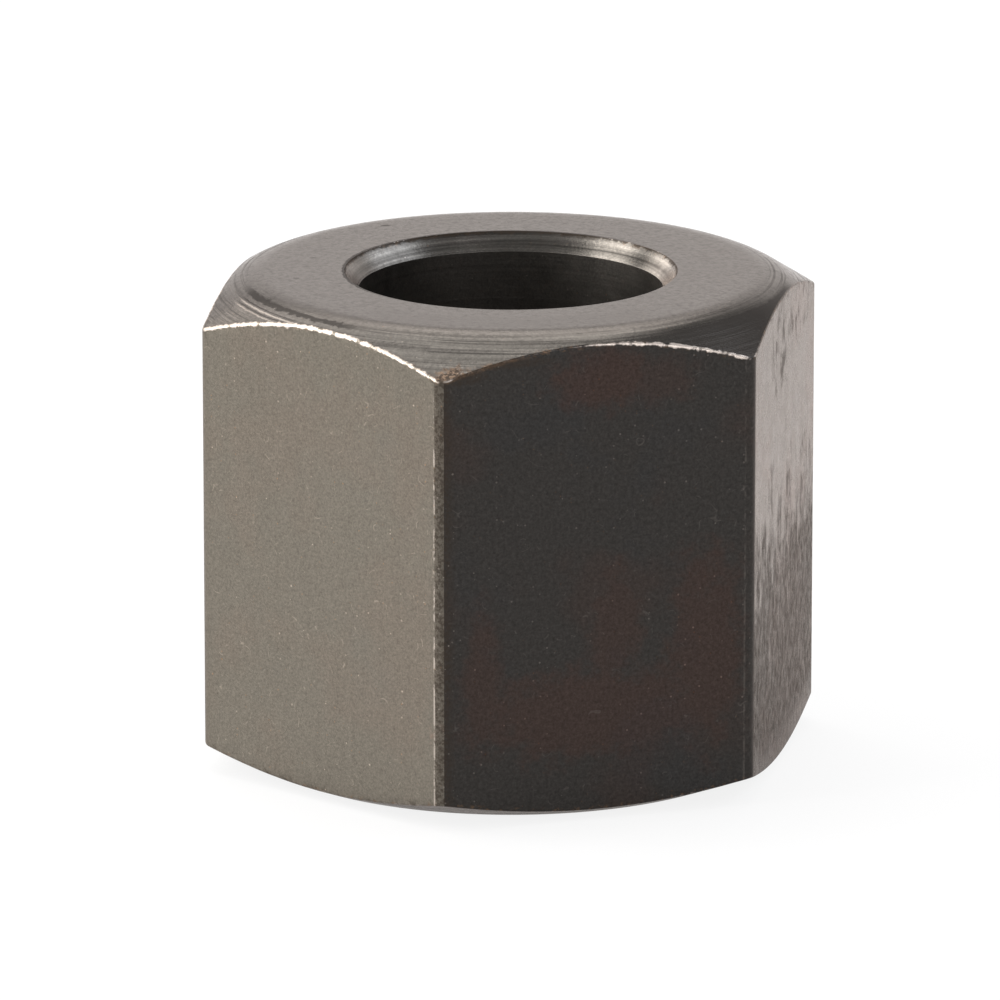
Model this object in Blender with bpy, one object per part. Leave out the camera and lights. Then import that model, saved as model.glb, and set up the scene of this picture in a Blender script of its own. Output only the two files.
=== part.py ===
"""Collet nut: a hexagonal nut that draws a collet into the nose of a tool spindle.

The nut is one piece of hexagonal steel bar. A lathe faces both ends, turns a radiused chamfer on
each, bores it through and blackens it. The model follows the same steps: the bar is extruded from
its section, cut to the turned envelope, and then bored.

Units are metres. +Z runs along the bore from the threaded end, which is on the ground, to the
nose. The origin is the centre of the threaded end's face. Two of the six flats face -Y and +Y.
"""

import math

import bmesh
import bpy
from mathutils import Matrix

MM = 0.001

# Thread of the spindle that the nut runs on
THREAD_MAJOR_DIAMETER = 20.0 * MM
THREAD_PITCH = 1.5 * MM

# Hexagonal bar
WALL_OVER_THREAD = 2.0 * MM
CORNER_RADIUS = 0.6 * MM
HEIGHT = 21.15 * MM

# Turned nose end: a flat face, a radius that softens its rim, then a chamfer over the corners
NOSE_FACE_SETBACK = 1.6 * MM
NOSE_BLEND_RADIUS = 3.1 * MM
NOSE_SLOPE = math.radians(32.3)

# Turned threaded end: a narrow flat ring, a tighter radius and a shallower chamfer
END_FACE_WIDTH = 0.55 * MM
END_BLEND_RADIUS = 1.0 * MM
END_SLOPE = math.radians(22.0)

# Nose hole, where the tool's shank passes
BORE_RADIUS = 6.52 * MM
BORE_CHAMFER_WIDTH = 0.63 * MM
BORE_CHAMFER_DEPTH = 0.77 * MM
BORE_LAND = 3.25 * MM

# Seating cone that presses on the collet, the groove that the thread runs out in, and the mouth
SEAT_HALF_ANGLE = math.radians(30.0)
SEAT_STEP = 0.3 * MM
GROOVE_RELIEF = 0.2 * MM
GROOVE_WIDTH = 2.0 * MM
MOUTH_RELIEF = 0.15 * MM

# Facets
BAR_CORNER_STEPS = 4
BLEND_STEPS = 6
OUTSIDE_SEGMENTS = 96
BORE_SEGMENTS = 72

# A tool runs on past the metal by this much, so that no face of it lies on a face of the nut
OVERRUN = 2.0 * MM

# An ISO metric internal thread is this share of its pitch deep
THREAD_DEPTH_RATIO = 0.5413
HEX_SIDES = 6
# A circle's first point lies on +Y, and this turns it so that two corners lie on the X axis
CORNER_DIRECTION = math.radians(90.0)
SHARP_ANGLE = math.radians(14.0)
MERGE_DISTANCE = 0.00001

THREAD_MAJOR_RADIUS = THREAD_MAJOR_DIAMETER / 2
THREAD_MINOR_RADIUS = THREAD_MAJOR_RADIUS - THREAD_DEPTH_RATIO * THREAD_PITCH
HALF_ACROSS_FLATS = THREAD_MAJOR_RADIUS + WALL_OVER_THREAD
HALF_ACROSS_CORNERS = HALF_ACROSS_FLATS / math.cos(math.pi / HEX_SIDES)
MOUTH_RADIUS = THREAD_MAJOR_RADIUS + MOUTH_RELIEF
NOSE_FACE_RADIUS = HALF_ACROSS_FLATS - NOSE_FACE_SETBACK
END_FACE_RADIUS = MOUTH_RADIUS + END_FACE_WIDTH


def clear_scene():
    """Remove every object that the file opens with."""
    for thing in list(bpy.data.objects):
        bpy.data.objects.remove(thing, do_unlink=True)


def new_object(name, bm):
    """Make an object from a bmesh and link it to the scene."""
    mesh = bpy.data.meshes.new(name)
    bm.to_mesh(mesh)
    bm.free()
    thing = bpy.data.objects.new(name, mesh)
    bpy.context.scene.collection.objects.link(thing)
    return thing


def hex_bar(name):
    """Extrude the hexagon past both ends of the nut and round its six long edges."""
    bm = bmesh.new()
    bmesh.ops.create_circle(bm, cap_ends=True, segments=HEX_SIDES, radius=HALF_ACROSS_CORNERS,
                            matrix=Matrix.Rotation(CORNER_DIRECTION, 4, "Z"))
    bmesh.ops.translate(bm, vec=(0, 0, -OVERRUN), verts=bm.verts)
    top = bmesh.ops.extrude_face_region(bm, geom=list(bm.faces))["geom"]
    raised = [item for item in top if isinstance(item, bmesh.types.BMVert)]
    bmesh.ops.translate(bm, vec=(0, 0, HEIGHT + 2 * OVERRUN), verts=raised)
    long_edges = [edge for edge in bm.edges
                  if abs(edge.verts[0].co.z - edge.verts[1].co.z) > HEIGHT / 2]
    tangent_length = CORNER_RADIUS * math.tan(math.pi / HEX_SIDES)
    bmesh.ops.bevel(bm, geom=long_edges, offset=tangent_length, offset_type="OFFSET",
                    segments=BAR_CORNER_STEPS, profile=0.5, affect="EDGES")
    bmesh.ops.recalc_face_normals(bm, faces=bm.faces)
    return new_object(name, bm)


def revolve(name, profile, segments, start_angle=0.0):
    """Turn a profile of (radius, height) points about Z with a Screw modifier."""
    bm = bmesh.new()
    verts = [bm.verts.new((radius, 0.0, height)) for radius, height in profile]
    for first, second in zip(verts, verts[1:]):
        bm.edges.new((first, second))
    thing = new_object(name, bm)
    thing.rotation_euler = (0, 0, start_angle)
    screw = thing.modifiers.new("turned", "SCREW")
    screw.axis = "Z"
    screw.angle = math.tau
    screw.steps = segments
    screw.render_steps = segments
    screw.use_merge_vertices = True
    screw.merge_threshold = MERGE_DISTANCE
    return thing


def softened_chamfer(face_radius, blend_radius, slope, reach):
    """Points of a turned end as (radius, drop below its face), from the face's rim outwards.

    An arc tangent to the face bends down to the chamfer's slope, and the chamfer then runs on to
    the reach, which lies outside the bar.
    """
    points = []
    for step in range(BLEND_STEPS + 1):
        angle = slope * step / BLEND_STEPS
        points.append((face_radius + blend_radius * math.sin(angle),
                       blend_radius * (1 - math.cos(angle))))
    last_radius, last_drop = points[-1]
    outside = max(reach, last_radius) + OVERRUN
    points.append((outside, last_drop + (outside - last_radius) * math.tan(slope)))
    return points


def turned_envelope():
    """The space inside both turned ends, from the nose down the outside to the threaded end."""
    nose = softened_chamfer(NOSE_FACE_RADIUS, NOSE_BLEND_RADIUS, NOSE_SLOPE, HALF_ACROSS_CORNERS)
    end = softened_chamfer(END_FACE_RADIUS, END_BLEND_RADIUS, END_SLOPE, HALF_ACROSS_CORNERS)
    profile = [(0.0, HEIGHT)]
    profile += [(radius, HEIGHT - drop) for radius, drop in nose]
    profile += [(radius, drop) for radius, drop in reversed(end)]
    profile.append((0.0, 0.0))
    return revolve("turned_envelope", profile, OUTSIDE_SEGMENTS, math.pi / OUTSIDE_SEGMENTS)


def bore_profile():
    """Points of the bore as (radius, height), from above the nose down past the threaded end."""
    chamfer_slope = BORE_CHAMFER_WIDTH / BORE_CHAMFER_DEPTH
    land_top = HEIGHT - BORE_CHAMFER_DEPTH
    seat_top = land_top - BORE_LAND
    seat_radius = THREAD_MINOR_RADIUS - SEAT_STEP
    seat_bottom = seat_top - (seat_radius - BORE_RADIUS) / math.tan(SEAT_HALF_ANGLE)
    groove_radius = THREAD_MAJOR_RADIUS + GROOVE_RELIEF
    groove_bottom = seat_bottom - GROOVE_WIDTH
    thread_top = groove_bottom - (groove_radius - THREAD_MINOR_RADIUS)
    mouth_depth = MOUTH_RADIUS - THREAD_MINOR_RADIUS
    return [
        (0.0, HEIGHT + OVERRUN),
        (BORE_RADIUS + BORE_CHAMFER_WIDTH + OVERRUN * chamfer_slope, HEIGHT + OVERRUN),
        (BORE_RADIUS, land_top),
        (BORE_RADIUS, seat_top),
        (seat_radius, seat_bottom),
        (groove_radius, seat_bottom),
        (groove_radius, groove_bottom),
        (THREAD_MINOR_RADIUS, thread_top),
        (THREAD_MINOR_RADIUS, mouth_depth),
        (MOUTH_RADIUS + OVERRUN, -OVERRUN),
        (0.0, -OVERRUN),
    ]


def machine(work, tool, operation):
    """Apply a tool to the work with an exact Boolean, then put the tool away."""
    tool.hide_render = True
    tool.display_type = "WIRE"
    cut = work.modifiers.new(tool.name, "BOOLEAN")
    cut.operation = operation
    cut.solver = "EXACT"
    cut.object = tool
    shaped = work.evaluated_get(bpy.context.evaluated_depsgraph_get())
    mesh = bpy.data.meshes.new_from_object(shaped)
    work.modifiers.clear()
    work.data = mesh
    bpy.data.objects.remove(tool, do_unlink=True)


def blackened_steel():
    """Black oxide on steel: a dark, slightly warm metal with a soft sheen."""
    material = bpy.data.materials.new("blackened_steel")
    material.use_nodes = True
    shader = material.node_tree.nodes["Principled BSDF"]
    shader.inputs["Base Color"].default_value = (0.085, 0.078, 0.074, 1.0)
    shader.inputs["Metallic"].default_value = 0.85
    shader.inputs["Roughness"].default_value = 0.42
    return material


def tidy_mesh(thing):
    """Clear what the cuts leave on flat faces, then shade the turned surfaces smooth."""
    bm = bmesh.new()
    bm.from_mesh(thing.data)
    bmesh.ops.remove_doubles(bm, verts=bm.verts, dist=MERGE_DISTANCE)
    bmesh.ops.dissolve_limit(bm, angle_limit=math.radians(0.05), verts=bm.verts, edges=bm.edges)
    bm.to_mesh(thing.data)
    bm.free()
    thing.data.shade_smooth()
    thing.data.set_sharp_from_angle(angle=SHARP_ANGLE)
    weighting = thing.modifiers.new("flat_faces_stay_flat", "WEIGHTED_NORMAL")
    weighting.keep_sharp = True


def build_collet_nut():
    """Cut the bar to the turned envelope, bore it and give it its finish."""
    nut = hex_bar("collet_nut")
    machine(nut, turned_envelope(), "INTERSECT")
    machine(nut, revolve("bore_tool", bore_profile(), BORE_SEGMENTS), "DIFFERENCE")
    tidy_mesh(nut)
    nut.data.name = "collet_nut"
    nut.data.materials.clear()
    nut.data.materials.append(blackened_steel())
    return nut


clear_scene()
build_collet_nut()
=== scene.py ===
"""A blackened steel collet nut, dressed for its portrait.

The nut is one piece of hexagonal bar, faced and chamfered on a lathe, bored, threaded and blackened.
This script lays a fine skin over the plain solid: the worn rims where the flats meet the chamfers,
the thread, and the marks that drawing, turning and handling leave in black oxide.

Lengths are metres, and the materials work in millimetres. +Z runs from the threaded end to the nose.
"""

import logging
import math
from dataclasses import dataclass, field
from enum import Enum
from typing import Any, Mapping, Sequence, Union

import bmesh
import bpy
import numpy as np
from mathutils import Matrix, Vector, noise


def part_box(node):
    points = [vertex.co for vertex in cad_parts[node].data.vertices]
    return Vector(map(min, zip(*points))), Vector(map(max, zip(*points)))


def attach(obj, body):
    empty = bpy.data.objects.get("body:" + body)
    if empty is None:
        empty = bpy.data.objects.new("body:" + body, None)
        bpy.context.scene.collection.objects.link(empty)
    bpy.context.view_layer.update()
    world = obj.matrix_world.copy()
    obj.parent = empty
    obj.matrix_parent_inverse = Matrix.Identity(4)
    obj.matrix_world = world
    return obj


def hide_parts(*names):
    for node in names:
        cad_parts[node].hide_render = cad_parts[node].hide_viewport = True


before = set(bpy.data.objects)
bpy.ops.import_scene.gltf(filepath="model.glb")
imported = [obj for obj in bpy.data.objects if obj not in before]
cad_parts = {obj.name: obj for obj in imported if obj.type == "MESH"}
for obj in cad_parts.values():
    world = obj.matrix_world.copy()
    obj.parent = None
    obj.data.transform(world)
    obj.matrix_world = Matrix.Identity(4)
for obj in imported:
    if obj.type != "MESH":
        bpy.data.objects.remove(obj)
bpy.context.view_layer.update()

MM = 0.001
NODE = "collet_nut"

SIDES = 6
SECTOR = math.tau / SIDES
HALF_SECTOR = SECTOR / 2
MERGE_DISTANCE = 0.0005 * MM
DEGENERATE_LENGTH = 0.0002 * MM

Triple = tuple[float, float, float]
Colour = Triple
Stops = Sequence[tuple[float, Union[float, Colour]]]

log = logging.getLogger("collet_nut")


class Region(Enum):
    """The kinds of surface that the nut has, in the order of its material slots."""

    FLATS = 0
    ENDS = 1
    BORE = 2


class Signal:
    """One output of a material node, with arithmetic that writes Math nodes."""

    def __init__(self, board: "NodeBoard", socket: bpy.types.NodeSocket) -> None:
        """Keep the socket and the board that it lies on."""
        self.board = board
        self.socket = socket

    def math(self, operation: str, *others: "Operand") -> "Signal":
        """Feed this signal, and then the others, to a Math node."""
        return self.board.math(operation, self, *others)

    def __add__(self, other: "Operand") -> "Signal":
        """Add."""
        return self.math("ADD", other)

    def __sub__(self, other: "Operand") -> "Signal":
        """Subtract."""
        return self.math("SUBTRACT", other)

    def __rsub__(self, other: "Operand") -> "Signal":
        """Subtract from a number."""
        return self.board.math("SUBTRACT", other, self)

    def __mul__(self, other: "Operand") -> "Signal":
        """Multiply."""
        return self.math("MULTIPLY", other)

    def __truediv__(self, other: "Operand") -> "Signal":
        """Divide."""
        return self.math("DIVIDE", other)

    def __abs__(self) -> "Signal":
        """Take the absolute value."""
        return self.math("ABSOLUTE")

    __radd__ = __add__
    __rmul__ = __mul__

    def at_least(self, other: "Operand") -> "Signal":
        """Take the larger of two."""
        return self.math("MAXIMUM", other)

    def at_most(self, other: "Operand") -> "Signal":
        """Take the smaller of two."""
        return self.math("MINIMUM", other)

    def step(self, low: float, high: float) -> "Signal":
        """Rise smoothly from 0 at low to 1 at high, or fall where low is the larger."""
        ends = {0: self, 1: low, 2: high} if low < high else {0: self, 1: high, 2: low, 3: 1.0, 4: 0.0}
        return self.board.signal("ShaderNodeMapRange", {"interpolation_type": "SMOOTHSTEP"}, ends)


Operand = Union[Signal, float]


class NodeBoard:
    """Writes the nodes of one material or world."""

    def __init__(self, tree: bpy.types.NodeTree) -> None:
        """Start on an empty tree."""
        self.tree = tree
        self.tree.nodes.clear()

    def add(self, kind: str, settings: Mapping[str, Any], inputs: Mapping[Any, Any]) -> bpy.types.Node:
        """Add a node.

        Args:
            kind: the node's type.
            settings: its own properties, and "stops" for a colour ramp's stops.
            inputs: a number, colour, vector or signal for each socket, by name or number.

        Returns:
            The node.
        """
        node = self.tree.nodes.new(kind)
        for name, value in settings.items():
            if name == "stops":
                self._set_stops(node.color_ramp, value)
            else:
                setattr(node, name, value)
        for key, value in inputs.items():
            if isinstance(value, Signal):
                self.tree.links.new(value.socket, node.inputs[key])
            else:
                node.inputs[key].default_value = value
        return node

    @staticmethod
    def _set_stops(ramp: bpy.types.ColorRamp, stops: Stops) -> None:
        """Give a colour ramp its stops, each a place and a grey level or a colour."""
        while len(ramp.elements) < len(stops):
            ramp.elements.new(1.0)
        for element, (place, shade) in zip(ramp.elements, stops):
            element.position = place
            colour = (shade, shade, shade) if isinstance(shade, float) else shade
            element.color = (*colour, 1.0)

    def signal(self, kind: str, settings: Mapping[str, Any], inputs: Mapping[Any, Any],
               output: Union[int, str] = 0) -> Signal:
        """Add a node and take one of its outputs."""
        return Signal(self, self.add(kind, settings, inputs).outputs[output])

    def math(self, operation: str, *operands: Operand) -> Signal:
        """Add a Math node on up to three operands."""
        return self.signal("ShaderNodeMath", {"operation": operation}, dict(enumerate(operands)))

    def mix(self, share: Operand, first: Any, second: Any) -> Signal:
        """Blend two colours, the first at a share of 0 and the second at 1."""
        inputs = {0: share, 6: self._rgba(first), 7: self._rgba(second)}
        return self.signal("ShaderNodeMix", {"data_type": "RGBA"}, inputs, 2)

    def tint(self, colour: Any, level: Operand) -> Signal:
        """Scale a colour's brightness."""
        return self.vector_math("SCALE", {0: colour, "Scale": level})

    def vector_math(self, operation: str, inputs: Mapping[Any, Any], output: Union[int, str] = 0) -> Signal:
        """Add a Vector Math node."""
        return self.signal("ShaderNodeVectorMath", {"operation": operation}, inputs, output)

    @staticmethod
    def _rgba(colour: Any) -> Any:
        """Give a plain colour its fourth channel."""
        return colour if isinstance(colour, Signal) else (*colour, 1.0)

    def ramp(self, value: Signal, stops: Stops, interpolation: str = "LINEAR") -> Signal:
        """Look a value up in a colour ramp."""
        node = self.add("ShaderNodeValToRGB", {"stops": stops}, {0: value})
        node.color_ramp.interpolation = interpolation
        return Signal(self, node.outputs[0])

    def vector(self, x: Operand, y: Operand, z: Operand) -> Signal:
        """Join three numbers into a vector."""
        return self.signal("ShaderNodeCombineXYZ", {}, {0: x, 1: y, 2: z})

    def times(self, first: Signal, second: Union[Signal, Triple]) -> Signal:
        """Multiply two colours or places, channel by channel."""
        return self.vector_math("MULTIPLY", {0: first, 1: second})

    def clouds(self, place: Signal, per_mm: float, detail: float, rough: float) -> Signal:
        """Soft noise round 0.5, with so many finer layers and so strong ones."""
        inputs = {"Vector": place, "Scale": per_mm, "Detail": detail, "Roughness": rough}
        return self.signal("ShaderNodeTexNoise", {}, inputs)


def strongest(masks: Sequence[Signal]) -> Signal:
    """The largest of several masks at each point."""
    total = masks[0]
    for mask in masks[1:]:
        total = total.at_least(mask)
    return total


@dataclass(frozen=True)
class Spot:
    """The middle and half-sizes of a patch, in millimetres, and how strong it is."""

    middle: Triple
    reach: Triple
    strength: float = 1.0


@dataclass(frozen=True)
class TurnedLine:
    """A line round an end: its radius and half-width in millimetres, and its span in degrees.

    The core is the share of its width over which it is at its full strength.
    """

    radius: float
    half_width: float
    middle: float
    half_span: float
    strength: float = 1.0
    fray: float = 0.0
    core: float = 0.35


@dataclass(frozen=True)
class Chamfer:
    """A turned end: the radius of its flat face, the arc that leads off it, and the slope after it."""

    face: float
    blend: float
    slope: float

    def drop(self, radius: np.ndarray) -> np.ndarray:
        """Depth below the face at each distance from the axis."""
        bend = self.blend * math.sin(self.slope)
        arc = self.blend - np.sqrt(self.blend ** 2 - np.clip(radius - self.face, 0.0, bend) ** 2)
        return arc + np.maximum(radius - self.face - bend, 0.0) * math.tan(self.slope)

    def straight_drop(self, radius: Signal) -> Signal:
        """Depth of the straight slope below the face at a distance from the axis, in millimetres."""
        outside = radius - (self.face + self.blend * math.sin(self.slope)) / MM
        return outside * math.tan(self.slope) + self.blend * (1 - math.cos(self.slope)) / MM


@dataclass(frozen=True)
class NutForm:
    """The nut's true sizes, in metres, and the curves that they give."""

    across_flats: float
    height: float
    corner_radius: float = 0.6 * MM
    nose: Chamfer = Chamfer(10.4 * MM, 3.1 * MM, math.radians(32.3))
    end: Chamfer = Chamfer(10.7 * MM, 1.0 * MM, math.radians(22.0))
    bore_radius: float = 6.52 * MM
    bore_chamfer_width: float = 0.63 * MM
    bore_chamfer_depth: float = 0.77 * MM
    bore_land: float = 3.25 * MM
    seat_radius: float = 8.888 * MM
    seat_half_angle: float = math.radians(30.0)
    groove_radius: float = 10.2 * MM
    groove_width: float = 2.0 * MM
    thread_minor_radius: float = 9.188 * MM
    thread_major_radius: float = 10.0 * MM
    thread_pitch: float = 1.5 * MM
    mouth_radius: float = 10.15 * MM

    @property
    def half_flats(self) -> float:
        """Half the width across the flats."""
        return self.across_flats / 2

    @property
    def half_corners(self) -> float:
        """Half the width across the sharp corners, before they are rounded."""
        return self.half_flats / math.cos(HALF_SECTOR)

    @property
    def seat_bottom(self) -> float:
        """Height of the seating cone's wide end."""
        top = self.height - self.bore_chamfer_depth - self.bore_land
        return top - (self.seat_radius - self.bore_radius) / math.tan(self.seat_half_angle)

    def outline(self, angles: np.ndarray) -> np.ndarray:
        """Distance from the axis to the hexagon with its rounded corners.

        Args:
            angles: directions about the axis; corners lie at multiples of 60 degrees.

        Returns:
            The distance in each direction.
        """
        off_corner = (angles + HALF_SECTOR) % SECTOR - HALF_SECTOR
        off_flat = HALF_SECTOR - np.abs(off_corner)
        flat = self.half_flats / np.cos(off_flat)
        centre = self.half_corners - self.corner_radius / math.cos(HALF_SECTOR)
        inside = np.maximum(self.corner_radius ** 2 - (centre * np.sin(off_corner)) ** 2, 0.0)
        rounded = centre * np.cos(off_corner) + np.sqrt(inside)
        tangent = math.atan2(self.corner_radius / 2, centre + self.corner_radius * math.cos(HALF_SECTOR))
        return np.where(np.abs(off_corner) < tangent, rounded, flat)

    def nose_height(self, radius: np.ndarray) -> np.ndarray:
        """Height of the nose end at each distance from the axis."""
        return self.height - self.nose.drop(radius)

    def thread_wall(self, phase: np.ndarray) -> np.ndarray:
        """Radius of the thread at each share of a turn along its profile, from a crest's start."""
        places = [0.0, 0.02, 0.23, 0.25, 0.5425, 0.5625, 0.6875, 0.7075, 0.98, 1.0]
        shares = [0.04, 0.0, 0.0, 0.04, 0.96, 1.0, 1.0, 0.96, 0.04, 0.04]
        depth = self.thread_major_radius - self.thread_minor_radius
        return self.thread_minor_radius + depth * np.interp(phase % 1.0, places, shares)


@dataclass(frozen=True)
class RimWear:
    """How far each rim is worn bright, by direction about the axis."""

    stops: tuple[tuple[float, float], ...] = (
        (-180.0, 0.95), (-150.0, 1.0), (-122.0, 0.78), (-116.0, 0.16), (-98.0, 0.14),
        (-90.0, 0.50), (-78.0, 0.95), (-62.0, 0.90), (-57.0, 0.10), (-10.0, 0.08), (10.0, 0.55),
        (40.0, 0.75), (75.0, 0.45), (110.0, 0.85), (145.0, 0.55), (180.0, 0.95),
    )

    def at(self, angles: np.ndarray) -> np.ndarray:
        """Wear in each direction, in radians."""
        degrees, amounts = zip(*self.stops)
        turned = (np.degrees(angles) + 180.0) % 360.0 - 180.0
        return np.interp(turned, degrees, amounts)

    def ramp_stops(self) -> Stops:
        """The same wear as stops of a ramp over one turn that starts at -180 degrees."""
        return [((degrees + 180.0) / 360.0, amount) for degrees, amount in self.stops]


Row = tuple[Union[float, np.ndarray], Union[float, np.ndarray], Region]


class Skin:
    """Gathers rings of points and the faces between them."""

    def __init__(self, angles: np.ndarray) -> None:
        """Take the directions of the finest ring."""
        self.angles = angles
        self.points: list[Triple] = []
        self.faces: list[tuple[int, ...]] = []
        self.regions: list[int] = []

    def ring(self, radii: np.ndarray, heights: np.ndarray, every: int = 1) -> list[int]:
        """Add one ring of points.

        Args:
            radii: distance from the axis, for each direction or for all.
            heights: height, for each direction or for all.
            every: take only each such direction.

        Returns:
            The points' numbers.
        """
        angles = self.angles[::every]
        radii = np.broadcast_to(radii, angles.shape)
        heights = np.broadcast_to(heights, angles.shape)
        start = len(self.points)
        xs, ys = radii * np.cos(angles), radii * np.sin(angles)
        self.points += list(zip(xs.tolist(), ys.tolist(), heights.tolist()))
        return list(range(start, start + len(angles)))

    def join(self, first: Sequence[int], second: Sequence[int], region: Region) -> None:
        """Fill the band between two rings of the same count."""
        count = len(first)
        for index in range(count):
            after = (index + 1) % count
            self.face((first[index], first[after], second[after], second[index]), region)

    def stitch(self, fine: Sequence[int], coarse: Sequence[int], region: Region) -> None:
        """Fill a flat band between a fine ring and one that has a share of its points."""
        share = len(fine) // len(coarse)
        for index, corner in enumerate(coarse):
            span = [fine[(index * share + step) % len(fine)] for step in range(share + 1)]
            self.face((*span, coarse[(index + 1) % len(coarse)], corner), region)

    def face(self, corners: tuple[int, ...], region: Region) -> None:
        """Add one face."""
        self.faces.append(corners)
        self.regions.append(region.value)

    def to_object(self, name: str, smooth_below: float) -> bpy.types.Object:
        """Make the mesh.

        Args:
            name: the object's name.
            smooth_below: edges under this angle are shaded smooth.

        Returns:
            The object, linked to the scene.
        """
        mesh = bpy.data.meshes.new(name)
        mesh.from_pydata(self.points, [], self.faces)
        mesh.polygons.foreach_set("material_index", self.regions)
        bm = bmesh.new()
        bm.from_mesh(mesh)
        bmesh.ops.remove_doubles(bm, verts=bm.verts, dist=MERGE_DISTANCE)
        bmesh.ops.dissolve_degenerate(bm, dist=DEGENERATE_LENGTH, edges=bm.edges)
        bmesh.ops.recalc_face_normals(bm, faces=bm.faces)
        bm.to_mesh(mesh)
        bm.free()
        mesh.shade_smooth()
        mesh.set_sharp_from_angle(angle=smooth_below)
        piece = bpy.data.objects.new(name, mesh)
        bpy.context.scene.collection.objects.link(piece)
        return piece


class NutPlace:
    """Where a point of the nut lies, as signals in millimetres."""

    def __init__(self, board: NodeBoard, form: NutForm, wear: RimWear) -> None:
        """Read the object's own coordinates."""
        self.board, self.form, self.wear = board, form, wear
        raw = board.signal("ShaderNodeTexCoord", {}, {}, "Object")
        self.place = board.times(raw, (1 / MM, 1 / MM, 1 / MM))
        node = board.add("ShaderNodeSeparateXYZ", {}, {0: self.place})
        self.x, self.y, self.z = (Signal(board, output) for output in node.outputs)
        self.radius = (self.x * self.x + self.y * self.y).math("SQRT")
        self.turn = board.math("ARCTAN2", self.y, self.x) / math.tau + 0.5

    def clouds(self, per_mm: float, detail: float, rough: float, upright: float = 1.0) -> Signal:
        """The board's soft noise here, drawn out into upright streaks where upright is small."""
        drawn = self.place if upright == 1.0 else self.board.times(self.place, (1.0, 1.0, upright))
        return self.board.clouds(drawn, per_mm, detail, rough)

    def fray(self) -> Signal:
        """A value round 0 that frays the edges of marks."""
        return self.clouds(3.0, 4.0, 0.7) - 0.5

    def specks(self, per_mm: float, size: float, share: float) -> Signal:
        """Small dots in some of the cells of a scattered grid.

        Args:
            per_mm: how many cells there are in a millimetre.
            size: a dot's radius, as a share of its cell.
            share: how many of the cells hold a dot.

        Returns:
            1 in a dot and 0 outside.
        """
        board = self.board
        node = board.add("ShaderNodeTexVoronoi", {}, {"Vector": self.place, "Scale": per_mm})
        luck = board.add("ShaderNodeSeparateColor", {}, {0: Signal(board, node.outputs["Color"])})
        chance, girth, shade = (Signal(board, output) for output in luck.outputs[:3])
        reach = Signal(board, node.outputs["Distance"]) - girth * (size * 0.6)
        in_some = board.math("LESS_THAN", chance, share)
        return reach.step(size * 0.6, size * 0.15) * in_some * (shade * 0.6 + 0.4)

    def depth_in_hexagon(self) -> Signal:
        """Distance in from the nearest flat."""
        across = abs(self.x) * math.cos(HALF_SECTOR) + abs(self.y) * math.sin(HALF_SECTOR)
        return self.form.half_flats / MM - across.at_least(abs(self.y))

    def corner_gap(self) -> Signal:
        """Distance along a flat to the nearest rounded corner."""
        half = (self.form.half_flats - self.form.corner_radius) * math.tan(HALF_SECTOR) / MM
        inset = self.form.half_flats / MM - self.depth_in_hexagon()
        return half - (self.radius * self.radius - inset * inset).at_least(0.0).math("SQRT")

    def past_corner(self) -> Signal:
        """Distance past the nearest upright corner, less than 0 before it, about the axis."""
        half_rounding = self.form.corner_radius * math.tan(HALF_SECTOR) / MM
        share = (self.turn * float(SIDES)).math("FRACT")
        side = share.math("LESS_THAN", 0.5) * 2.0 - 1.0
        return (self.corner_gap() + half_rounding) * side

    def rim_gap(self) -> Signal:
        """Distance to the nearest rim between a flat and a chamfer."""
        form = self.form
        below_nose = form.height / MM - self.z - form.nose.straight_drop(self.radius)
        above_end = self.z - form.end.straight_drop(self.radius)
        nearer = below_nose.at_least(0.0).at_most(above_end.at_least(0.0))
        return self.depth_in_hexagon().at_least(0.0) + nearer

    def wear_here(self) -> Signal:
        """How far the rims are worn in this direction."""
        return self.board.ramp(self.turn, self.wear.ramp_stops())

    def patches(self, spots: Sequence[Spot], ragged: Signal) -> Signal:
        """Soft-edged patches round some spots.

        Args:
            spots: the patches' middles, sizes and strengths.
            ragged: a value round 0 that frays their edges.

        Returns:
            A spot's strength inside its patch and 0 outside all of them.
        """
        board = self.board
        found = []
        for spot in spots:
            away = board.vector_math("SUBTRACT", {0: self.place, 1: spot.middle})
            scaled = board.times(away, tuple(1 / reach for reach in spot.reach))
            distance = board.vector_math("LENGTH", {0: scaled}, "Value")
            found.append((distance + ragged).step(1.35, 0.60) * spot.strength)
        return strongest(found)

    def by_sixth(self, values: Sequence[Any], ahead: float = 0.0) -> Signal:
        """One number or colour for each sixth of a turn, from -180 degrees or a little before."""
        turn = (self.turn + ahead).math("FRACT") if ahead else self.turn
        stops = [(index / SIDES, value) for index, value in enumerate(values)]
        return self.board.ramp(turn, stops, "CONSTANT")

    def turned_lines(self, lines: Sequence[TurnedLine], wobble: Signal) -> Signal:
        """The strongest of several turned lines at each point.

        Args:
            lines: the lines.
            wobble: a value round 0 that frays the edges of those that ask for it.

        Returns:
            A line's strength on it and 0 away from all of them.
        """
        found = []
        for line in lines:
            off = abs(self.radius - line.radius + wobble * line.fray)
            middle = line.middle / 360.0 + 0.5
            around = abs(self.board.math("WRAP", self.turn - middle, 0.5, -0.5))
            half = line.half_span / 360.0
            on_line = off.step(line.half_width, line.half_width * line.core)
            found.append(on_line * around.step(half, half * 0.6) * line.strength)
        return strongest(found)

    def rings(self, per_mm: float, drift: float) -> Signal:
        """Fine rings about the axis, of chance strength, that change slowly on their way round."""
        across = self.board.vector(self.radius, self.z, self.turn * drift)
        return self.board.clouds(across, per_mm, 3.0, 0.7)


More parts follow.
